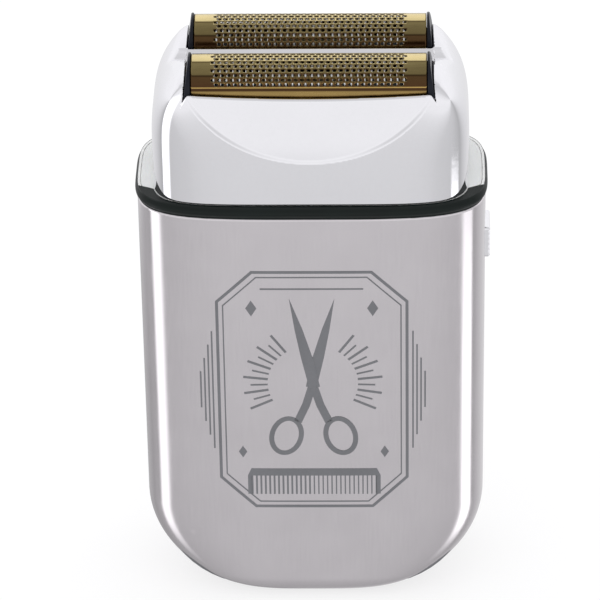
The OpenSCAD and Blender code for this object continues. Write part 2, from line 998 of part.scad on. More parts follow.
body_sleeve();
seal_band();
top_deck();
deck_screws();
chassis_front();
chassis_rear();
chassis_screws();
motor_bracket();
bracket_screws();
motor_screws();
motor_can();
motor_magnets();
motor_end_cap();
motor_terminals();
motor_shaft();
motor_rotor();
eccentric_cam();
front_drive_bridge();
rear_drive_bridge();
front_drive_pin();
rear_drive_pin();
flexure_leaves();
front_pin_seal();
rear_pin_seal();
front_cutter_spring();
rear_cutter_spring();
front_cutter_carrier();
rear_cutter_carrier();
front_cutter_blades();
rear_cutter_blades();
head_shell();
head_frame();
head_frame_screws();
front_foil();
rear_foil();
front_foil_frame();
rear_foil_frame();
front_foil_springs();
rear_foil_springs();
release_button();
release_latch();
release_spring();
switch_plate();
switch_slider();
switch_nub();
switch_body();
circuit_board();
board_parts();
board_screws();
indicator_lens();
battery_cell();
battery_tabs();
battery_leads();
motor_leads();
charge_socket();
charge_pin();
charge_leads();
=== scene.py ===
import json
import math

import bmesh
import bpy
import numpy as np
from mathutils import Matrix, Vector


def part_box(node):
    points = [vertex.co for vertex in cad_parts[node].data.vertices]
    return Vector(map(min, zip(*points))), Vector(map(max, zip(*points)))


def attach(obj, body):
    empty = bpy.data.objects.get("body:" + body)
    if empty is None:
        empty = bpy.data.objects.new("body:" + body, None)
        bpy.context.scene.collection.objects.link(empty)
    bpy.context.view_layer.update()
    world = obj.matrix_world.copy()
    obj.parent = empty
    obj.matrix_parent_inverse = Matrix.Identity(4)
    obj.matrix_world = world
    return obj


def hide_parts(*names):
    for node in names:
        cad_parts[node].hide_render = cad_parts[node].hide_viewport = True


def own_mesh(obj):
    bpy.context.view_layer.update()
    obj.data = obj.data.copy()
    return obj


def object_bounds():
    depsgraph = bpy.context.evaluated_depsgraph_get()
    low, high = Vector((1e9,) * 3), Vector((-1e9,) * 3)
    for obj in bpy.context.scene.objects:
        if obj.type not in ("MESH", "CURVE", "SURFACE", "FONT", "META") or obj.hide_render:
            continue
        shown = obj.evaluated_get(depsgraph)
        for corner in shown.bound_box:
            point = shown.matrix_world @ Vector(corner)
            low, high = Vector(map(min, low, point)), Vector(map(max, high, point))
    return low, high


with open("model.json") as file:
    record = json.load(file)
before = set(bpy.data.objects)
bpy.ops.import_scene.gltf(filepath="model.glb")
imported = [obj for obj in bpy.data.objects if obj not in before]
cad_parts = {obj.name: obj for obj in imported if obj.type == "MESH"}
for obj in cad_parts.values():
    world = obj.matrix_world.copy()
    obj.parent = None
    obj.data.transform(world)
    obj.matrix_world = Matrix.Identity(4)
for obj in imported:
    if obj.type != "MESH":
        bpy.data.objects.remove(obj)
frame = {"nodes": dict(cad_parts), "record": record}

# Twin-foil shaver: the visible pieces, built round the CAD frame.
# Shapes are worked out in millimetres and stored in metres.

MM = 0.001
FINE = 1e-6     # small enough to count as zero
RECORD = frame["record"]
NODES = frame["nodes"]
cad_low, cad_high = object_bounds()


def box_mm(node):
    low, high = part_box(node)
    return np.array(low) / MM, np.array(high) / MM


def middle_of(low, high):
    return (low + high) / 2


# ---------------------------------------------------------------- sizes

sleeve_high = box_mm("body_sleeve")[1]
half_w, half_d, deck_z = sleeve_high
band_high = box_mm("seal_band")[1]
band_z = band_high[2]
head_low, head_high = box_mm("head_shell")
head_a, head_b, ear_z = head_high
head_z = head_low[2]
foil_low, foil_high = box_mm("front_foil")
foil_half = foil_high[0]
foil_r = (foil_high[1] - foil_low[1]) / 2
foil_y = -(foil_high[1] + foil_low[1]) / 2
foil_z = foil_high[2] - foil_r
rail_z = foil_low[2]
frame_low, frame_high = box_mm("front_foil_frame")
shelf_z = box_mm("head_frame")[1][2]
slider_low, slider_high = box_mm("switch_slider")
window_low, window_high = box_mm("switch_plate")
button_low, button_high = box_mm("release_button")
lens_low, lens_high = box_mm("indicator_lens")
socket_low, socket_high = box_mm("charge_socket")
seal_low, seal_high = box_mm("front_pin_seal")
cell_low, cell_high = box_mm("battery_cell")

# Casing
body_power = 4
sleeve_wall = 1.5
foot_x = 10
foot_z = 19.5
foot_round = 4.5
gap = 0.1           # between the casing's holes and what sits in them
button_r = 4
window_in = 25
button_in = 5
socket_deep = 5
band_root = -0.5    # the band's inner edge at the front, from the casing's outline
band_thin = -0.12   # and all round elsewhere
band_groove = 0.3
band_lip_y = 6.7

# Head
head_power = 5
head_wall = 1.4
rim_round = 0.35
shoulder_h = 17
shoulder_power = 3.5
ear_in = 23.6
ear_arc = 16
opening_x = foil_half + 1.72
opening_lean = 1.1
opening_y = 5
lip_z = foil_z - 1.2
lip_dip = 0.75
bar_half = 2.45
bar_z = foil_z + 1.0
bar_dip = 0.6
post_x = 24.8
post_r = 2
post_bore = 0.92
notch_x = 10
notch_half = 2.6
notch_y = (12, 13.5)
notch_h = 3.8
scoop_half = 21.8
scoop_h = 12.4
scoop_lean = 1.2

# Foils
cap_over = 0.25
cap_in = foil_half + 0.1
cap_out = foil_half + 1.65
tray_x = foil_half + 1.05
tray_y = 4.85
tray_window = (19.8, 4.3)
tab_y = 3
tab_h = 1.5
sheet_t = 0.12
strip_x = 20.9
strip_h = (0.05, 0.55)

# Small parts
pad_in = 31.4
rib_pitch = 1.1
stem_half = (1.4, 1.5)
nub_in, nub_out = 27, 28.6
nub_half = 0.85
dish_r = 11.6
button_rim = (12.32, 13.2)
stalk_r = 1.5
cell_long = 49


# ---------------------------------------------------------------- fields
# A field is negative inside a shape and grows about 1 for each mm outside it.

def meet(f, g, r):
    """What f and g share, with a round edge of radius r."""
    return np.minimum(np.maximum(f, g), -r) + np.hypot(np.maximum(f + r, 0), np.maximum(g + r, 0))


def join(f, g, r):
    """f and g together, with a fillet of radius r between them."""
    return -meet(-f, -g, r)


def cut(f, g, r):
    """f without g, with a round edge of radius r."""
    return meet(f, -g, r)


def oval(x, y, a, b, power):
    """Rounded rectangle with half sides a and b: the higher the power, the squarer."""
    u = np.abs(x) / a
    v = np.abs(y) / b
    size = np.maximum((u ** power + v ** power) ** (1 / power), FINE)
    slope = np.hypot((u / size) ** (power - 1) / a, (v / size) ** (power - 1) / b)
    return (size - 1) / slope


def slab(t, low, high):
    return np.maximum(low - t, t - high)


def box_field(p, low, high, r=0.0):
    q = [np.abs(p[k] - (low[k] + high[k]) / 2) - (high[k] - low[k]) / 2 + r for k in range(3)]
    away = np.sqrt(sum(np.maximum(t, 0) ** 2 for t in q))
    return away + np.minimum(np.maximum(np.maximum(q[0], q[1]), q[2]), 0) - r


def skin(field, low, high, step):
    """Points, quads and normals of the closed surface where the field is zero."""
    axes = [np.arange(low[k] - step, high[k] + 2 * step, step) for k in range(3)]
    value = field(*np.meshgrid(*axes, indexing="ij"))
    cells = np.array(value.shape) - 1
    count = np.zeros(cells.prod())
    total = np.zeros((cells.prod(), 3))
    quads = []
    for k in range(3):
        ahead = np.eye(3, dtype=int)[k]
        across = np.eye(3, dtype=int)[(k + 1) % 3]
        upward = np.eye(3, dtype=int)[(k + 2) % 3]
        here = value[tuple(slice(0, n - a) for n, a in zip(value.shape, ahead))]
        there = value[tuple(slice(a, None) for a in ahead)]
        edge = np.argwhere((here < 0) != (there < 0))
        f = here[tuple(edge.T)]
        g = there[tuple(edge.T)]
        crossing = edge + ahead * (f / (f - g))[:, None]
        ring = []
        for back in (across + upward, upward, 0 * upward, across):
            index = np.ravel_multi_index(tuple((edge - back).T), cells)
            np.add.at(count, index, 1)
            np.add.at(total, index, crossing)
            ring.append(index)
        ring = np.stack(ring, 1)
        quads.append(np.where((f < 0)[:, None], ring, ring[:, ::-1]))
    used = np.flatnonzero(count)
    number = np.zeros(len(count), int)
    number[used] = np.arange(len(used))
    start = np.array([a[0] for a in axes])
    points = start + step * total[used] / count[used, None]
    points, normals = settle(field, points, step)
    return points, number[np.concatenate(quads)], normals


def settle(field, points, step):
    """Moves points onto the surface and gives its normals there."""
    tiny = 0.15 * step
    for turn in range(4):
        slope = np.stack([
            field(*(points + tiny * side).T) - field(*(points - tiny * side).T)
            for side in np.eye(3)
        ], 1) / (2 * tiny)
        size = np.maximum(np.linalg.norm(slope, axis=1), FINE)
        if turn < 3:
            move = -(field(*points.T) / size)[:, None] * slope / size[:, None]
            far = np.linalg.norm(move, axis=1) / (0.5 * step)
            points = points + move / np.maximum(far, 1)[:, None]
    return points, slope / size[:, None]


# ---------------------------------------------------------------- pieces

def add_mesh(name, points, faces, normals=None):
    mesh = bpy.data.meshes.new(name)
    mesh.from_pydata((np.asarray(points) * MM).tolist(), [], np.asarray(faces).tolist()
                     if isinstance(faces, np.ndarray) else faces)
    mesh.update()
    mesh.shade_smooth()
    if normals is not None:
        mesh.normals_split_custom_set_from_vertices(normals.tolist())
    return place(name, mesh)


def place(name, data):
    piece = bpy.data.objects.new(name, data)
    bpy.context.scene.collection.objects.link(piece)
    return piece


def grown(name, field, low, high, step):
    return add_mesh(name, *skin(field, low, high, step))


def settle_piece(piece, body, slot, *nodes):
    piece.data.materials.append(material(slot))
    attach(piece, body)
    if nodes:
        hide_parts(*nodes)


def loops(count, sides):
    """Quads between rings of points: from each to the next, and from the last to the first."""
    return [
        (i * sides + k, i * sides + (k + 1) % sides,
         (i + 1) % count * sides + (k + 1) % sides, (i + 1) % count * sides + k)
        for i in range(count) for k in range(sides)
    ]


def lathe(name, outline, centre, axis, sides=64):
    """Turns an outline of (radius, height) points about an axis through centre."""
    spin = {"x": Matrix.Rotation(math.pi / 2, 3, "Y"), "z": Matrix.Identity(3)}[axis]
    points = []
    for radius, height in outline:
        for k in range(sides):
            a = 2 * math.pi * k / sides
            p = spin @ Vector((radius * math.cos(a), radius * math.sin(a), height))
            points.append(np.array(p) + np.array(centre))
    return swept(name, points, loops(len(outline), sides))


def swept(name, points, faces):
    piece = add_mesh(name, points, faces)
    tidy_mesh(piece)
    return piece


def tidy_mesh(piece):
    """Joins points that lie together, drops faces that vanish and turns the rest outwards."""
    shape = bmesh.new()
    shape.from_mesh(piece.data)
    bmesh.ops.remove_doubles(shape, verts=shape.verts, dist=FINE)
    bmesh.ops.dissolve_degenerate(shape, edges=shape.edges, dist=1e-7)
    bmesh.ops.recalc_face_normals(shape, faces=shape.faces)
    shape.to_mesh(piece.data)
    shape.free()
    piece.data.shade_smooth()


def crease(piece, angle=35):
    """Keeps corners sharper than the angle crisp."""
    shape = bmesh.new()
    shape.from_mesh(piece.data)
    for edge in shape.edges:
        if len(edge.link_faces) == 2 and edge.calc_face_angle(0) > math.radians(angle):
            edge.smooth = False
    shape.to_mesh(piece.data)
    shape.free()


# ---------------------------------------------------------------- materials

PALETTE = {m["slot"]: m["base_color"] for m in RECORD["materials"]}
made_materials = {}


class Nodes:
    """Short calls for building a node tree."""

    def __init__(self, tree):
        self.tree = tree

    def add(self, kind, **values):
        node = self.tree.nodes.new(kind)
        for name, value in values.items():
            setattr(node, name, value)
        return node

    def link(self, source, target):
        self.tree.links.new(source, target)

    def maths(self, operation, first, second=0.0):
        node = self.add("ShaderNodeMath", operation=operation)
        for socket, value in zip(node.inputs, (first, second)):
            if isinstance(value, (int, float)):
                socket.default_value = value
            else:
                self.link(value, socket)
        return node.outputs[0]

    def times(self, first, second):
        return self.maths("MULTIPLY", first, second)

    def one_less(self, value):
        return self.maths("SUBTRACT", 1.0, value)

    def parts(self, vector):
        node = self.add("ShaderNodeSeparateXYZ")
        self.link(vector, node.inputs[0])
        return node.outputs

    def scaled(self, colour, level):
        node = self.add("ShaderNodeVectorMath", operation="SCALE")
        node.inputs[0].default_value = colour
        self.link(level, node.inputs["Scale"])
        return node.outputs[0]

    def ramp(self, value, bands):
        """Colours by value: bands hold (position, colour)."""
        node = self.add("ShaderNodeValToRGB")
        self.link(value, node.inputs[0])
        stops = node.color_ramp.elements
        while len(stops) < len(bands):
            stops.new(0.5)
        for stop, (position, colour) in zip(stops, bands):
            stop.position = position
            stop.color = tuple(colour) + (1,)
        return node.outputs[0]

    def span(self, value, low, high, start, end, smooth=False):
        """Maps low..high of a value to start..end, and holds it beyond."""
        kind = "SMOOTHSTEP" if smooth else "LINEAR"
        node = self.add("ShaderNodeMapRange", interpolation_type=kind)
        for index, number in enumerate((low, high, start, end), 1):
            node.inputs[index].default_value = number
        self.link(value, node.inputs[0])
        return node.outputs[0]

    def noise(self, scale, stretch=(1, 1, 1), detail=4.0):
        """Noise whose scale is in marks for each mm."""
        where = self.add("ShaderNodeTexCoord")
        shape = self.add("ShaderNodeMapping")
        shape.inputs["Scale"].default_value = [scale * s / MM for s in stretch]
        self.link(where.outputs["Object"], shape.inputs["Vector"])
        noise = self.add("ShaderNodeTexNoise")
        noise.inputs["Detail"].default_value = detail
        noise.inputs["Scale"].default_value = 1
        self.link(shape.outputs[0], noise.inputs["Vector"])
        return noise.outputs[0]


def surface(slot, metallic, roughness, marks, tone, spread, bump, stretch=(1, 1, 1), wear=0.1,
            colour=None, inputs=None):
    """A finish with fine marks, slow clouds of tone and worn edges.

    marks: fine marks for each mm; tone: how much the colour varies;
    spread: how much the roughness varies; bump: depth of the marks in mm.
    """
    finish = bpy.data.materials.new(slot)
    finish.use_nodes = True
    nodes = Nodes(finish.node_tree)
    shader = finish.node_tree.nodes["Principled BSDF"]
    colour = colour or list(PALETTE[slot])[:3]
    fine = nodes.noise(marks, stretch)
    cloud = nodes.noise(0.12, detail=5.0)
    shade = nodes.maths("ADD", nodes.span(fine, 0.3, 0.7, -tone, tone),
                        nodes.span(cloud, 0.35, 0.65, -tone, tone))
    geometry = nodes.add("ShaderNodeNewGeometry")
    worn = nodes.span(geometry.outputs["Pointiness"], 0.52, 0.62, 0, wear)
    level = nodes.maths("ADD", nodes.maths("ADD", shade, worn), 1.0)
    nodes.link(nodes.scaled(colour, level), shader.inputs["Base Color"])
    rough = nodes.maths("ADD", nodes.span(fine, 0.3, 0.7, -spread, spread),
                        nodes.span(cloud, 0.35, 0.65, roughness - spread, roughness + spread))
    nodes.link(nodes.maths("MAXIMUM", rough, 0.02), shader.inputs["Roughness"])
    lift = nodes.add("ShaderNodeBump")
    lift.inputs["Strength"].default_value = 1
    lift.inputs["Distance"].default_value = bump * MM
    nodes.link(fine, lift.inputs["Height"])
    nodes.link(lift.outputs[0], shader.inputs["Normal"])
    shader.inputs["Metallic"].default_value = metallic
    for name, value in (inputs or {}).items():
        shader.inputs[name].default_value = value
    return finish


FINISHES = {
    "satin_metal": dict(
        colour=(0.705, 0.672, 0.693), metallic=1, roughness=0.17, marks=3, stretch=(1, 1, 0.06),
        tone=0.012, spread=0.02, bump=0.00005, wear=0.05),
    "polished_metal": dict(
        colour=(0.87, 0.865, 0.89), metallic=1, roughness=0.06, marks=1.2,
        tone=0.006, spread=0.012, bump=0.00004, wear=0.03),
    "grey_metal": dict(
        metallic=1, roughness=0.32, marks=4, stretch=(1, 1, 0.1),
        tone=0.05, spread=0.04, bump=0.0004),
    "black_rubber": dict(
        colour=(0.003, 0.0065, 0.0055), metallic=0, roughness=0.4, marks=6,
        tone=0.15, spread=0.05, bump=0.003, wear=0.3, inputs={"Specular IOR Level": 0.22}),
    "black_plastic": dict(
        colour=(0.006, 0.007, 0.012), metallic=0, roughness=0.3, marks=7,
        tone=0.1, spread=0.04, bump=0.002, wear=0.3, inputs={"Specular IOR Level": 0.2}),
    "grey_plastic": dict(
        colour=(0.14, 0.142, 0.152), metallic=0, roughness=0.5, marks=5,
        tone=0.06, spread=0.05, bump=0.004),
    "white_plastic": dict(
        metallic=0, roughness=0.4, marks=5,
        tone=0.03, spread=0.05, bump=0.002, inputs={"Subsurface Weight": 0.05}),
    "steel": dict(
        colour=(0.93, 0.94, 0.97), metallic=1, roughness=0.4, marks=6, stretch=(0.1, 1, 1),
        tone=0.04, spread=0.05, bump=0.0006),
    "magnet": dict(
        metallic=0.6, roughness=0.55, marks=8,
        tone=0.15, spread=0.08, bump=0.006),
    "brass": dict(
        metallic=1, roughness=0.28, marks=5, stretch=(1, 1, 0.2),
        tone=0.06, spread=0.05, bump=0.0005),
    "copper": dict(
        metallic=0.9, roughness=0.3, marks=4, stretch=(0.2, 0.2, 1.6),
        tone=0.14, spread=0.06, bump=0.01, inputs={"Coat Weight": 0.6}),
    "gold_foil": dict(
        metallic=1, roughness=0.24, marks=5, stretch=(0.12, 1, 1),
        tone=0.06, spread=0.03, bump=0.0003),
    "board_green": dict(
        metallic=0, roughness=0.35, marks=1.4, stretch=(1, 1, 0.25),
        tone=0.25, spread=0.06, bump=0.004, inputs={"Coat Weight": 0.4}),
    "clear_lens": dict(
        metallic=0, roughness=0.08, marks=3,
        tone=0.02, spread=0.02, bump=0.0005, inputs={"Transmission Weight": 0.6, "IOR": 1.49}),
    "cell_wrap": dict(
        metallic=0, roughness=0.25, marks=2, stretch=(0.3, 1, 1),
        tone=0.06, spread=0.04, bump=0.004, inputs={"Coat Weight": 0.5}),
    "red_wire": dict(
        metallic=0, roughness=0.45, marks=4,
        tone=0.08, spread=0.05, bump=0.003),
}


def paint_light_by_lean(finish, bands):
    """Paints highlights and shade into a finish's colour by how far its surface leans.

    bands: (upward part of the normal, colour)
    """
    nodes = Nodes(finish.node_tree)
    shader = finish.node_tree.nodes["Principled BSDF"]
    base = shader.inputs["Base Color"].links[0].from_socket
    lean = nodes.parts(nodes.add("ShaderNodeNewGeometry").outputs["Normal"])[2]
    mix = nodes.add("ShaderNodeMix", data_type="RGBA", blend_type="MULTIPLY")
    mix.inputs[0].default_value = 1
    nodes.link(base, mix.inputs[6])
    nodes.link(nodes.ramp(lean, bands), mix.inputs[7])
    nodes.link(mix.outputs[2], shader.inputs["Base Color"])


# Painted light on the foil, by the upward part of its normal: a white highlight along the crown,
# a thin cream highlight streak low on the arch, dark brown shade over the lower arch and olive
# grey between.
FOIL_PAINTED_LIGHT = (
    (0.0, (0.5, 0.42, 0.3)), (0.03, (0.09, 0.055, 0.05)), (0.12, (0.09, 0.055, 0.05)),
    (0.155, (0.75, 0.62, 0.4)), (0.19, (0.09, 0.055, 0.05)), (0.54, (0.13, 0.09, 0.075)),
    (0.59, (0.05, 0.035, 0.03)), (0.64, (0.24, 0.225, 0.19)), (0.92, (0.32, 0.31, 0.27)),
    (0.945, (0.12, 0.1, 0.08)), (0.965, (0.95, 0.95, 0.93)), (1.0, (1.0, 1.0, 1.0)),
)


def material(slot):
    if slot not in made_materials:
        made_materials[slot] = surface(slot, **FINISHES[slot])
        if slot == "gold_foil":
            # painted highlights and shade on the foil, by how far it leans
            paint_light_by_lean(made_materials[slot], FOIL_PAINTED_LIGHT)
    return made_materials[slot]


# ---------------------------------------------------------------- casing

def casing_wall(x, y, z, inset):
    """The casing's side wall, set in from its outer skin: it narrows round the foot."""
    run = half_w - foot_x - inset
    rise = foot_z - inset
    corner = np.clip((foot_z - z) / rise, 0, 1)
    edge = np.clip((foot_round - z) / (foot_round - inset), 0, 1)
    a = foot_x + run * np.sqrt(1 - corner ** 2)
    b = half_d - foot_round + (foot_round - inset) * np.sqrt(1 - edge ** 2)
    return oval(x, y, a, b, body_power)


def casing_field(x, y, z):
    shell = meet(casing_wall(x, y, z, 0), slab(z, 0, deck_z), rim_round)
    hollow = np.maximum(casing_wall(x, y, z, sleeve_wall), sleeve_wall - z)
    shell = cut(shell, hollow, 0.15)
    window_r = window_high[1]
    middle = np.clip(z, window_low[2] + window_r, window_high[2] - window_r)
    window = np.hypot(y, z - middle) - window_r - gap / 2
    lens_hole = np.hypot(y, z - middle_of(lens_low[2], lens_high[2])) - lens_high[1] - gap / 2
    button_hole = np.hypot(x, z - middle_of(button_low[2], button_high[2])) - button_r - gap
    socket_y = middle_of(socket_low[1], socket_high[1])
    socket_hole = np.hypot(x, y - socket_y) - socket_high[0] - gap
    shell = cut(shell, np.maximum(window, window_in - x), 0.3)
    shell = cut(shell, np.maximum(lens_hole, window_in - x), 0.12)
    shell = cut(shell, np.maximum(button_hole, button_in - y), 0.25)
    return cut(shell, np.maximum(socket_hole, z - socket_deep), 0.2)


def casing():
    low = (-half_w, -half_d, 0)
    piece = grown("casing", casing_field, low, sleeve_high, 0.45)
    settle_piece(piece, "body", "satin_metal", "body_sleeve")


def oval_point(a, b, power, turn):
    c, s = math.cos(turn), math.sin(turn)
    return (a * math.copysign(abs(c) ** (2 / power), c),
            b * math.copysign(abs(s) ** (2 / power), s))


def casing_point(out, turn):
    """A point at out from the casing's outline, seen from above."""
    return oval_point(half_w + out, half_d + out, body_power, turn)


def casing_ring(name, slot, rows, *nodes):
    """Piece swept round the casing: each row gives a point for each turn."""
    sides = 480
    turns = [2 * math.pi * k / sides for k in range(sides)]
    points = [row(turn) for row in rows for turn in turns]
    piece = swept(name, points, loops(len(rows), sides))
    crease(piece, 50)
    settle_piece(piece, "body", slot, *nodes)


def outline_row(out, z):
    return lambda turn: casing_point(out, turn) + (z,)


def band_edge(z, back=0.0):
    """Inner edge of the band: thin all round, and drawn in to the head along the front."""
    def row(turn):
        front = -casing_point(0, turn)[1]
        share = min(max((front - band_lip_y) / 0.5, 0), 1)
        out = band_thin + share * (band_root - band_thin) + back
        x, y = casing_point(out, turn)
        near_x, near_y = oval_point(head_a + 0.1, head_b - 0.2, head_power, turn)
        return (x + share * (near_x - x), y + share * (near_y - y), z)
    return row


def sealing_band():
    """Rubber ring with a convex face between two grooves, and a lip to the head at the front."""
    rim = band_high[1] - half_d
    step_in = rim - 0.3
    low = deck_z + band_groove
    high = band_z - band_groove
    face = [(rim - 0.25 + 0.4 * math.sin(math.pi * t / 10), low + (high - low) * t / 10)
            for t in range(11)]
    profile = [(band_thin, deck_z), (step_in, deck_z), (step_in, low - 0.1)] + face
    profile += [(step_in, high + 0.1), (step_in, band_z + 0.05)]
    rows = [outline_row(out, z) for out, z in profile]
    rows += [band_edge(band_z + 0.05), band_edge(band_z - 0.2)]
    casing_ring("sealing_band", "black_rubber", rows, "seal_band")


def deck_rim():
    """Flat rim of the deck between the thin part of the band and the deck's own edge."""
    inner = band_root - 0.2
    foot = band_z - 0.3
    casing_ring("deck_rim", "white_plastic", [
        outline_row(inner, band_z), band_edge(band_z, -0.02),
        band_edge(foot, -0.02), outline_row(inner, foot)])


# ---------------------------------------------------------------- head

def scoop(x, y, z):
    """Shallow round-bottomed scoop in the face at negative y, leaning in towards the foils."""
    radius = (scoop_half ** 2 + scoop_h ** 2) / (2 * scoop_h)
    lean = math.atan(scoop_lean / scoop_h)
    up = z - (lip_z - scoop_h)
    out = -(y + head_b) * math.cos(lean) + up * math.sin(lean)
    along = (y + head_b) * math.sin(lean) + up * math.cos(lean)
    return meet(-out, np.hypot(x, along - radius) - radius, 0.5)


def foil_rise(z):
    """0 at the foot of the foils, 1 at their crown."""
    return np.clip((z - rail_z) / (foil_high[2] - rail_z), 0, 1)


def head_field(x, y, z):
    rise = np.clip(1 - (ear_z - z) / shoulder_h, 0, 1)
    a = head_a - (head_a - ear_in) * rise ** shoulder_power
    gap_x = opening_x - opening_lean * foil_rise(z)
    shell = oval(x, y, a, head_b, head_power)
    ears = np.hypot(np.abs(y) - foil_y, np.maximum(z - (ear_z - ear_arc), 0)) - ear_arc
    shell = meet(shell, ears, 1.0)
    shell = meet(shell, head_z - z, rim_round)
    hollow = oval(x, y, a - head_wall - gap, head_b - head_wall, head_power)
    hollow = np.maximum(hollow, z - (rail_z - 0.4))
    shell = cut(shell, hollow, 0.2)
    well = np.maximum(np.abs(x) - gap_x, np.abs(y) - foil_y - opening_y)
    shell = cut(shell, np.maximum(well, shelf_z - z), rim_round)
    lip = lip_z + lip_dip * np.clip(np.abs(x) / scoop_half, 0, 1) ** 2
    shell = cut(shell, np.maximum(np.abs(x) - gap_x, lip - z), 0.2)
    bar_side = np.where(z > rail_z, bar_half, bar_half - 0.35)
    bar_top = bar_z - bar_dip * (bar_half - np.abs(y))
    bar = meet(np.abs(y) - bar_side, slab(z, shelf_z, bar_top), 0.15)
    shell = join(shell, np.maximum(bar, np.abs(x) - opening_x - 1), 0.2)
    post = np.hypot(np.abs(x) - post_x, y)
    shell = join(shell, np.maximum(post - post_r, slab(z, shelf_z, rail_z)), 0.2)
    shell = cut(shell, np.maximum(post - post_bore, z - rail_z + 1), 0.05)
    shell = cut(shell, scoop(x, y, z), 0.45)
    shell = cut(shell, scoop(x, -y, z), 0.45)
    notch = np.maximum(np.abs(np.abs(x) - notch_x) - notch_half, slab(y, *notch_y))
    return cut(shell, np.maximum(notch, z - head_z - notch_h), 0.05)


def head():
    piece = grown("head", head_field, head_low, head_high, 0.25)
    settle_piece(piece, "head", "polished_metal", "head_shell")


# ---------------------------------------------------------------- foils

def foil_frame_field(side):
    foot = frame_low[2]

    def field(x, y, z):
        away = np.abs(x)
        y = y - side * foil_y
        tray = box_field((x, y, z), (-tray_x, -tray_y, foot), (tray_x, tray_y, rail_z), 0.25)
        tabs = box_field((away, y, z), (foil_half, -tab_y, foot),
                         (frame_high[0], tab_y, foot + tab_h), 0.25)
        tray = join(tray, tabs, 0.15)
        tray = cut(tray, np.maximum(away - tray_window[0], np.abs(y) - tray_window[1]), 0.2)
        lean = opening_lean * foil_rise(z)
        arch = np.hypot(y, np.maximum(z - foil_z, 0)) - foil_r - cap_over
        cap = meet(arch, slab(away, cap_in, cap_out - lean), 0.2)
        cap = np.maximum(cap, rail_z - 1 - z)
        return join(tray, cap, 0.15)

    return field


def foil_frame(side, word):
    low = (frame_low[0], side * foil_y - 5, frame_low[2])
    high = (frame_high[0], side * foil_y + 5, frame_high[2] + 0.2)
    piece = grown(word + "_foil_holder", foil_frame_field(side), low, high, 0.16)
    settle_piece(piece, word + "_foil_unit", "black_plastic", word + "_foil_frame")


def foil_point(x, s, side):
    """A point of the foil at x along it and s across its arch, measured from the crown."""
    quarter = math.pi / 2 * foil_r
    turn = min(max(s, -quarter), quarter) / foil_r
    drop = max(abs(s) - quarter, 0)
    return (x, side * foil_y + foil_r * math.sin(turn), foil_z + foil_r * math.cos(turn) - drop)


def foil(side, word):
    """Perforated arch: brick rows of small holes between plain ends and skirts."""
    columns, rows, parts = 37, 25, 4
    plain_columns, plain_rows = 3, 5
    hole_x, hole_s, hole_power = 0.33, 0.35, 2.6
    pitch_x = 2 * foil_half / columns
    arch = math.pi * foil_r + 2 * (foil_z - rail_z)
    pitch_s = arch / rows
    points, faces, known = [], [], {}

    def corner(x, s):
        key = (round(x * 2000), round(s * 2000))
        if key not in known:
            known[key] = len(points)
            points.append(foil_point(x, s, side))
        return known[key]

    def lattice(p, q):
        return corner(-foil_half + p * pitch_x / parts, -arch / 2 + q * pitch_s / parts)

    holed = np.zeros((columns * parts, rows * parts), bool)
    for row in range(plain_rows, rows - plain_rows):
        shift = parts // 2 * (row % 2)
        for column in range(plain_columns, columns - plain_columns - row % 2):
            p = column * parts + shift
            q = row * parts
            holed[p:p + parts, q:q + parts] = True
            edge = [(p + k, q) for k in range(parts)]
            edge += [(p + parts, q + k) for k in range(parts)]
            edge += [(p + parts - k, q + parts) for k in range(parts)]
            edge += [(p, q + parts - k) for k in range(parts)]
            x = -foil_half + (p + parts / 2) * pitch_x / parts
            s = -arch / 2 + (q + parts / 2) * pitch_s / parts
            outer = [lattice(*e) for e in edge]
            inner = []
            for e in edge:
                a = math.atan2(e[1] - q - parts / 2, e[0] - p - parts / 2)
                c, n = math.cos(a), math.sin(a)
                reach = (abs(c) ** hole_power + abs(n) ** hole_power) ** (-1 / hole_power)
                inner.append(corner(x + hole_x * pitch_x * reach * c,
                                    s + hole_s * pitch_s * reach * n))
            for k in range(len(edge)):
                n = (k + 1) % len(edge)
                faces.append((outer[k], outer[n], inner[n], inner[k]))
    for p, q in np.argwhere(~holed):
        faces.append((lattice(p, q), lattice(p + 1, q),
                      lattice(p + 1, q + 1), lattice(p, q + 1)))
    piece = add_mesh(word + "_foil_sheet", points, faces)
    sheet = piece.modifiers.new("sheet", "SOLIDIFY")
    sheet.thickness = sheet_t * MM
    sheet.offset = -1
    settle_piece(piece, word + "_foil_unit", "gold_foil", word + "_foil")


def foil_rail(side, word):
    """Rounded gold strips along the foot of the skirts."""
    reach = foil_r + 0.4

    def field(x, y, z):
        y = np.abs(y - side * foil_y)
        return box_field((x, y, z), (-strip_x, foil_r - 0.1, rail_z + strip_h[0]),
                         (strip_x, reach, rail_z + strip_h[1]), 0.2)

    low = (-strip_x, side * foil_y - reach, rail_z)
    high = (strip_x, side * foil_y + reach, rail_z + 0.6)
    piece = grown(word + "_foil_rails", field, low, high, 0.12)
    settle_piece(piece, word + "_foil_unit", "brass")


# ---------------------------------------------------------------- small parts

def slider_field(x, y, z):
    """Ribbed pad on a stem that takes the nub of the switch behind it."""
    low, high = slider_low, slider_high
    middle = middle_of(low[2], high[2])
    pad = box_field((x, y, z), (pad_in, low[1], low[2]), high, 0.45)
    for k in range(-2, 3):
        groove = np.hypot(x - high[0] - 0.15, z - middle - rib_pitch * k) - 0.45
        pad = cut(pad, groove, 0.08)
    stem_y, stem_z = stem_half
    stem = box_field((x, y, z), (low[0], -stem_y, middle - stem_z),
                     (pad_in + 0.3, stem_y, middle + stem_z), 0.15)
    nub = box_field((x, y, z), (nub_in, -nub_half, middle - nub_half),
                    (nub_out, nub_half, middle + nub_half))
    return cut(join(pad, stem, 0.15), nub, 0.05)


def slider():
    piece = grown("thumb_slider", slider_field, slider_low, slider_high, 0.12)
    settle_piece(piece, "switch", "polished_metal", "switch_slider")


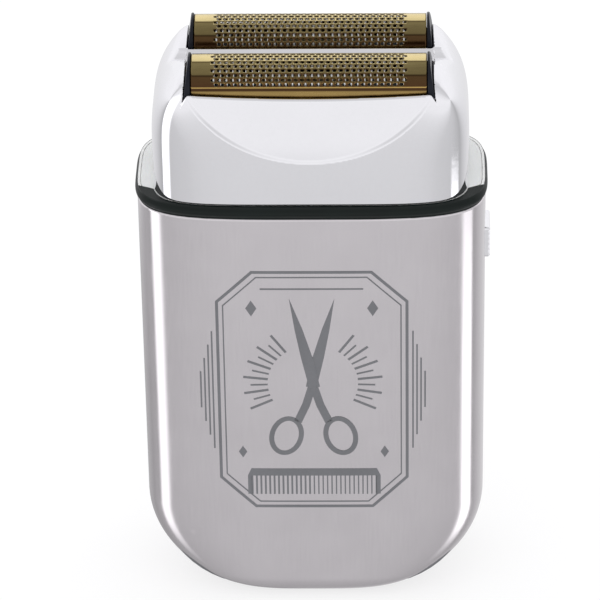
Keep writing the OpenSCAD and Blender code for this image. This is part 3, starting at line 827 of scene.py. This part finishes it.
def button_field(x, y, z):
    """Dished cap, a rim behind the casing's wall and a stalk to the latch."""
    away = np.hypot(x, z - middle_of(button_low[2], button_high[2]))
    cap = meet(away - button_r, slab(y, 13, button_high[1]), 0.5)
    dish = np.sqrt(away ** 2 + (y - button_high[1] - dish_r + 0.4) ** 2) - dish_r
    cap = cut(cap, dish, 0.2)
    rim = meet(away - button_r - 0.7, slab(y, *button_rim), 0.12)
    stalk = meet(away - stalk_r, slab(y, button_low[1], 12.5), 0.1)
    return join(join(cap, rim, 0.1), stalk, 0.1)


def button():
    piece = grown("release_push", button_field, button_low, button_high, 0.15)
    settle_piece(piece, "release", "polished_metal", "release_button")


def lens():
    middle = middle_of(lens_low[2], lens_high[2])
    radius = lens_high[1]
    long = lens_high[0] - lens_low[0]
    swell = 0.45
    dome = [(radius * math.cos(a), long - swell + swell * math.sin(a))
            for a in np.linspace(0, math.pi / 2, 9)]
    outline = [(0, 0), (radius - 0.1, 0), (radius, 0.1)] + dome
    piece = lathe("light_pipe", outline, (lens_low[0], 0, middle), "x", 32)
    settle_piece(piece, "body", "clear_lens", "indicator_lens")


def pin_seal(side, word):
    """Soft bellows between the deck and a drive pin."""
    bore = 2.4
    outer = seal_high[0]
    collar = outer - 0.42
    height = seal_high[2] - seal_low[2]
    foot = band_z - seal_low[2]
    outline = [(bore, 0), (collar, 0), (collar, foot), (outer - 0.1, foot), (outer, foot + 0.15),
               (outer, foot + 0.45), (outer - 0.12, foot + 0.58), (collar - 0.3, foot + 0.62),
               (collar - 0.5, foot + 0.9), (collar - 0.3, foot + 1.15),
               (collar - 0.6, height - 0.15), (collar - 0.75, height),
               (bore + 0.05, height), (bore, height - 0.1)]
    piece = lathe(word + "_pin_bellows", outline, (0, side * foil_y, seal_low[2]), "z", 48)
    crease(piece, 50)
    settle_piece(piece, "body", "black_rubber", word + "_pin_seal")


def coil_tube(axis, start, length, radius, wire, turns):
    """Corners and quads of a round wire wound from start along axis, with closed ends."""
    sides, steps = 10, int(turns * 28)
    across = Vector((1, 0, 0))
    other = Vector(axis).cross(across)
    centre_line = []
    for k in range(steps + 1):
        a = 2 * math.pi * turns * k / steps
        rise = wire + (length - 2 * wire) * k / steps
        centre_line.append(Vector(start) + Vector(axis) * rise
                           + (across * math.cos(a) + other * math.sin(a)) * radius)
    points, faces = [], []
    for k, centre in enumerate(centre_line):
        before = centre_line[max(k - 1, 0)]
        after = centre_line[min(k + 1, steps)]
        along = (after - before).normalized()
        flat = along.cross(Vector(axis)).normalized()
        high = along.cross(flat)
        for i in range(sides):
            a = 2 * math.pi * i / sides
            points.append(tuple(centre + (flat * math.cos(a) + high * math.sin(a)) * wire))
    for k in range(steps):
        for i in range(sides):
            n = (i + 1) % sides
            faces.append((k * sides + i, k * sides + n, (k + 1) * sides + n, (k + 1) * sides + i))
    faces.append(tuple(range(sides)))
    faces.append(tuple(steps * sides + i for i in reversed(range(sides))))
    return points, faces


def spring(name, node, body, along, places, wire, turns):
    """Coil springs that fill the node along their axis."""
    low, high = box_mm(node)
    n = along.index(1)
    length = high[n] - low[n]
    radius = (high[3 - n] - low[3 - n]) / 2 - wire
    start = middle_of(low, high)
    start[n] = low[n]
    points, faces = [], []
    for x in places:
        start[0] = x
        ring, quads = coil_tube(along, start, length, radius, wire, turns)
        faces += [tuple(len(points) + i for i in quad) for quad in quads]
        points += ring
    piece = swept(name, points, faces)
    settle_piece(piece, body, "steel", node)
    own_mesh(piece)


def springs():
    up = (0, 0, 1)
    for word in ("front", "rear"):
        spring(word + "_cutter_coil", word + "_cutter_spring", word + "_drive",
               up, [0], 0.2, 5)
        node = word + "_foil_springs"
        low, high = box_mm(node)
        reach = high[0] - (high[1] - low[1]) / 2
        spring(word + "_foil_coils", node, "head", up,
               [-reach, reach], 0.175, 4)
    spring("release_coil", "release_spring", "body", (0, 1, 0),
           [0], 0.15, 2)


def cell():
    """Wrapped cell: shrunk sleeve over both ends, and the button contact."""
    middle = middle_of(cell_low[2], cell_high[2])
    radius = cell_high[1]
    long = cell_long
    outline = [(0, 0), (radius - 1.4, 0), (radius - 1.1, 0.25), (radius - 0.4, 0.1),
               (radius, 0.5), (radius, long - 0.5), (radius - 0.4, long - 0.1),
               (radius - 1.1, long - 0.25), (3.3, long - 0.2), (3, long),
               (3, long + 0.55), (2.85, long + 0.7), (0, long + 0.7)]
    piece = lathe("wrapped_cell", outline, (cell_low[0], 0, middle), "x", 64)
    crease(piece, 40)
    settle_piece(piece, "body", "cell_wrap", "battery_cell")


# ---------------------------------------------------------------- emblem
# A barber's comb and scissors in a cut-cornered frame, inlaid in the front face.

emblem_z = 47.5
inlay = 0.05


class Drawing:
    """Flat shapes in x and height about the emblem's centre."""

    def __init__(self):
        self.points = []
        self.faces = []
        self.lift = 0

    def fill(self, outline):
        start = len(self.points)
        self.points += [(p[0], p[1], self.lift) for p in outline]
        self.faces.append(tuple(range(start, start + len(outline))))

    def stroke(self, path, width, closed=False):
        path = [np.array(p, float) for p in path]
        count = len(path)
        rims = []
        for i, here in enumerate(path):
            before = path[i - 1] if closed or i else here
            after = path[(i + 1) % count] if closed or i < count - 1 else here
            ways = [w / np.linalg.norm(w) for w in (here - before, after - here)
                    if np.linalg.norm(w) > 0]
            sides = [np.array((-w[1], w[0])) for w in ways]
            mitre = sum(sides) / np.linalg.norm(sum(sides))
            mitre *= width / 2 / max(float(mitre @ sides[0]), 0.4)
            rims.append((here - mitre, here + mitre))
        for i in range(count if closed else count - 1):
            n = (i + 1) % count
            self.fill([rims[i][0], rims[n][0], rims[n][1], rims[i][1]])

    def star(self, centre, radius):
        cx, cz = centre
        self.fill([(cx, cz + radius), (cx - radius * 0.6, cz), (cx, cz - radius),
                   (cx + radius * 0.6, cz)])


def cut_corner_frame(w, h, c):
    return [(w, h - c), (w - c, h), (c - w, h), (-w, h - c),
            (-w, c - h), (c - w, -h), (w - c, -h), (w, c - h)]


def turned(points, degrees, centre):
    a = math.radians(degrees)
    c, s = math.cos(a), math.sin(a)
    return [(centre[0] + c * x - s * z, centre[1] + s * x + c * z) for x, z in points]


def scissors(art, pivot):
    """Two crossed halves: the second lies over the first."""
    ring_r = 3.4
    blade = [(-0.9, -1), (1.1, -1), (1.3, 5), (0.9, 12), (0.1, 19), (-0.5, 12), (-0.8, 6)]
    shank = [(0, -1), (0.2, -5), (0.9, -9)]
    ring = [(2.3 + ring_r * 0.8 * math.cos(a), -12.6 + ring_r * math.sin(a) * 1.15)
            for a in np.linspace(0, 2 * math.pi, 36, endpoint=False)]
    for side in (-1, 1):
        art.lift = 0 if side < 0 else inlay
        edge, arm, loop = [turned([(side * x, z) for x, z in path], side * 13, pivot)
                           for path in (blade, shank, ring)]
        art.fill(edge[::side])
        art.stroke(arm, 1.5)
        art.stroke(loop, 0.95, closed=True)


def rays(art, centre):
    """Short strokes that fan out on both sides of the scissors."""
    art.lift = 0
    for side in (-1, 1):
        for step in range(11):
            a = math.radians(-26 + 8 * step)
            reach = 11.6 if step % 2 else 13
            start, end = [(centre[0] + side * r * math.cos(a), centre[1] + r * math.sin(a))
                          for r in (8.4, reach)]
            art.stroke([start, end], 0.32 if step % 2 else 0.45)


def comb(art, centre):
    """Spine with teeth that are wider in one half, between two end guards."""
    half, spine, tooth = 12.5, 1.6, 4.2
    count = 30

    def put(*corners):
        art.fill([(centre[0] + x, centre[1] + z) for x, z in corners])

    put((-half, 0), (half, 0), (half - 0.7, spine), (0.7 - half, spine))
    for k in range(count + 1):
        x = -half + 2 * half * k / count
        wide = 0.36 if k < count / 2 else 0.26
        if k in (0, count):
            wide = 0.85
            x -= math.copysign(wide / 2, x)
        left, right = x - wide / 2, x + wide / 2
        put((left, -tooth), (right, -tooth), (right, 0), (left, 0))


def emblem():
    art = Drawing()
    art.stroke(cut_corner_frame(17.5, 26, 6.5), 0.55, closed=True)
    art.stroke(cut_corner_frame(16.4, 24.9, 6.2), 0.25, closed=True)
    scissors(art, (0, 1.8))
    rays(art, (0, 1.8))
    comb(art, (0, -19))
    for side in (-1, 1):
        for step in range(4):
            x = side * (18.6 + 0.75 * step)
            half = 13 - 3 * step
            art.stroke([(x, -half), (x, half)], 0.3)
        art.star((side * 11.2, 18.2), 1.7)
        art.star((side * 13.3, -13.6), 1.3)
    art.stroke([(-9.5, 22.4), (9.5, 22.4)], 0.3)

    shape = bmesh.new()
    corners = [shape.verts.new((x, -lift, z + emblem_z)) for x, z, lift in art.points]
    for face in art.faces:
        shape.faces.new([corners[i] for i in face])
    for x in np.arange(-21, 21.1, 1.5):
        parts = shape.verts[:] + shape.edges[:] + shape.faces[:]
        bmesh.ops.bisect_plane(shape, geom=parts, plane_co=(x, 0, 0), plane_no=(1, 0, 0))
    bmesh.ops.triangulate(shape, faces=[f for f in shape.faces if len(f.verts) > 4])
    for corner in shape.verts:
        swell = (1 - (abs(corner.co.x) / half_w) ** body_power) ** (1 / body_power)
        corner.co.y -= half_d * swell + inlay
        corner.co *= MM
    for face in shape.faces:
        face.normal_update()
        if face.normal.y > 0:
            face.normal_flip()
    mesh = bpy.data.meshes.new("front_inlay")
    shape.to_mesh(mesh)
    shape.free()
    piece = place("front_inlay", mesh)
    body = piece.modifiers.new("inlay", "SOLIDIFY")
    body.thickness = 2 * inlay * MM
    body.offset = -1
    settle_piece(piece, "body", "grey_plastic")


# ---------------------------------------------------------------- carried-over parts

WIRES = ("battery_leads", "motor_leads", "charge_leads")
weld_reach = 0.002
edge_width = 0.08


def dress_cad_nodes():
    """Gives every CAD node its finish, round wires and softened edges."""
    slots = {part["node"]: part["material_slot"] for part in RECORD["subparts"]}
    for name, node in NODES.items():
        node.data.materials.clear()
        node.data.materials.append(material(slots[name]))
        weld = node.modifiers.new("weld", "WELD")
        weld.merge_threshold = weld_reach * MM
        if name in WIRES:
            smooth = node.modifiers.new("smooth", "SUBSURF")
            smooth.levels = 1
            smooth.render_levels = 1
        else:
            edge = node.modifiers.new("edges", "BEVEL")
            edge.width = edge_width * MM
            edge.segments = 2
            edge.limit_method = "ANGLE"
            edge.angle_limit = math.radians(40)
            edge.harden_normals = True


# ---------------------------------------------------------------- studio

# The room's tone by how far round a ray leans: 0 is towards the camera, 90 straight up.
ROOM_TONES = (
    (-180, 1.0), (-150, 0.8), (-95, 0.5), (-60, 0.58), (-34, 0.67), (-22, 0.96), (-6, 1.0),
    (12, 0.88), (30, 0.75), (62, 0.7), (78, 0.65), (104, 0.75), (118, 0.98), (150, 1.04),
    (180, 1.0),
)
brightest = 1.35    # above any tone, because a ramp holds no more than 1
stripe_level = 1.1
plain_level = 1.08


def in_camera(nodes, ray):
    """Parts of a world direction as the camera sees it."""
    turn = nodes.add("ShaderNodeVectorTransform", vector_type="VECTOR",
                     convert_from="WORLD", convert_to="CAMERA")
    if isinstance(ray, tuple):
        turn.inputs[0].default_value = ray
    else:
        nodes.link(ray, turn.inputs[0])
    return nodes.parts(turn.outputs[0])


def side_stripes(nodes, up, near, side, across):
    """Stripes for both sides of the casing, the right one brighter, and a shade on the left."""
    def on_right(left_value, right_value):
        return nodes.span(across, -0.01, 0.01, left_value, right_value)

    stripe = nodes.times(nodes.span(side, 0.83, 0.9, 0, 1, True),
                         nodes.span(near, 0.01, 0.09, 0, 1, True))
    stripe = nodes.times(stripe, nodes.span(up, -0.1, 0.1, 1, 0.2))
    stripe = nodes.times(stripe, nodes.span(up, -0.9, -0.66, 0, 1, True))
    fade = nodes.times(on_right(0, 1), nodes.span(up, -0.513, -0.508, 0, 1))
    stripe = nodes.times(stripe, nodes.one_less(fade))
    stripe = nodes.times(stripe, on_right(1, 1.4))
    shade = nodes.times(on_right(1, 0), nodes.span(near, -0.4, -0.1, 0.32, 0))
    shade = nodes.times(shade, nodes.span(up, -0.516, -0.511, 1, 0))
    return stripe, shade


def studio_light():
    """Soft white room whose brightness depends on where a ray goes relative to the camera."""
    world = bpy.data.worlds.new("studio")
    bpy.context.scene.world = world
    world.use_nodes = True
    world.node_tree.nodes.clear()
    nodes = Nodes(world.node_tree)

    ray = nodes.add("ShaderNodeTexCoord").outputs["Generated"]
    up = nodes.parts(ray)[2]
    across, _, deep = in_camera(nodes, ray)
    tilt = in_camera(nodes, (0, 0, 1))[2]
    level = nodes.maths("SQRT", nodes.one_less(nodes.times(tilt, tilt)))
    deep = nodes.maths("SUBTRACT", deep, nodes.times(up, tilt))
    near = nodes.times(nodes.maths("DIVIDE", deep, level), -1.0)
    flat = nodes.one_less(nodes.times(up, up))
    flat = nodes.maths("SQRT", nodes.maths("MAXIMUM", flat, 0.0001))
    side = nodes.maths("DIVIDE", nodes.maths("ABSOLUTE", across), flat)
    around = nodes.maths("ADD", nodes.maths("ARCTAN2", up, near), math.pi)
    around = nodes.maths("DIVIDE", around, 2 * math.pi)

    bands = [((degrees + 180) / 360, (tone / brightest,) * 3) for degrees, tone in ROOM_TONES]
    room = nodes.times(nodes.ramp(around, bands), brightest)
    stripe, shade = side_stripes(nodes, up, near, side, across)
    room = nodes.times(room, nodes.one_less(shade))
    glossy = nodes.maths("ADD", room, nodes.times(stripe, stripe_level))

    path = nodes.add("ShaderNodeLightPath").outputs
    plain = nodes.maths("MAXIMUM", path["Is Camera Ray"], path["Is Diffuse Ray"])
    pick = nodes.add("ShaderNodeMix", data_type="FLOAT")
    nodes.link(plain, pick.inputs[0])
    nodes.link(glossy, pick.inputs[2])
    pick.inputs[3].default_value = plain_level
    back = nodes.add("ShaderNodeBackground")
    back.inputs["Color"].default_value = (0.985, 0.985, 1.0, 1)
    nodes.link(pick.outputs[0], back.inputs["Strength"])
    out = nodes.add("ShaderNodeOutputWorld")
    nodes.link(back.outputs[0], out.inputs[0])


def floor():
    """Pale matt floor that also glows a little, so that it stays white around the part."""
    shape = bmesh.new()
    bmesh.ops.create_grid(shape, x_segments=8, y_segments=8, size=3)
    mesh = bpy.data.meshes.new("floor")
    shape.to_mesh(mesh)
    shape.free()
    piece = place("floor", mesh)
    piece.location.z = cad_low.z - 0.1 * MM
    paint = bpy.data.materials.new("floor")
    paint.use_nodes = True
    nodes = Nodes(paint.node_tree)
    shader = paint.node_tree.nodes["Principled BSDF"]
    level = nodes.span(nodes.noise(0.02), 0.3, 0.7, 0.36, 0.375)
    nodes.link(nodes.scaled((1, 1, 1), level), shader.inputs["Base Color"])
    shader.inputs["Roughness"].default_value = 1
    shader.inputs["Specular IOR Level"].default_value = 0
    shader.inputs["Emission Color"].default_value = (1, 1, 1, 1)
    shader.inputs["Emission Strength"].default_value = 0.66
    mesh.materials.append(paint)
    piece.visible_glossy = False


def camera():
    """Long lens at the photograph's viewing angle."""
    azimuth, elevation, roll = (math.radians(a) for a in (1.59, 32.19, -0.98))
    distance = 0.8
    centre = (cad_low + cad_high) / 2
    aim = Vector((-2.54 * MM, 0, centre.z + 0.84 * MM))
    back = Vector((math.sin(azimuth) * math.cos(elevation),
                   -math.cos(azimuth) * math.cos(elevation), math.sin(elevation)))
    right = Vector((math.cos(azimuth), math.sin(azimuth), 0))
    top = back.cross(right)
    across = right * math.cos(roll) + top * math.sin(roll)
    upright = top * math.cos(roll) - right * math.sin(roll)
    data = bpy.data.cameras.new("camera")
    data.lens = 255.84
    data.sensor_width = 36
    data.clip_start = 0.05
    data.clip_end = 20
    eye = place("camera", data)
    turn = Matrix((across, upright, back)).transposed().to_4x4()
    eye.matrix_world = Matrix.Translation(aim + back * distance) @ turn
    bpy.context.scene.camera = eye


# ---------------------------------------------------------------- build

dress_cad_nodes()
casing()
sealing_band()
deck_rim()
head()
for side, word in ((-1, "front"), (1, "rear")):
    foil_frame(side, word)
    foil(side, word)
    foil_rail(side, word)
    pin_seal(side, word)
slider()
button()
lens()
cell()
springs()
emblem()
studio_light()
floor()
camera()
bpy.context.scene.view_settings.view_transform = "Standard"
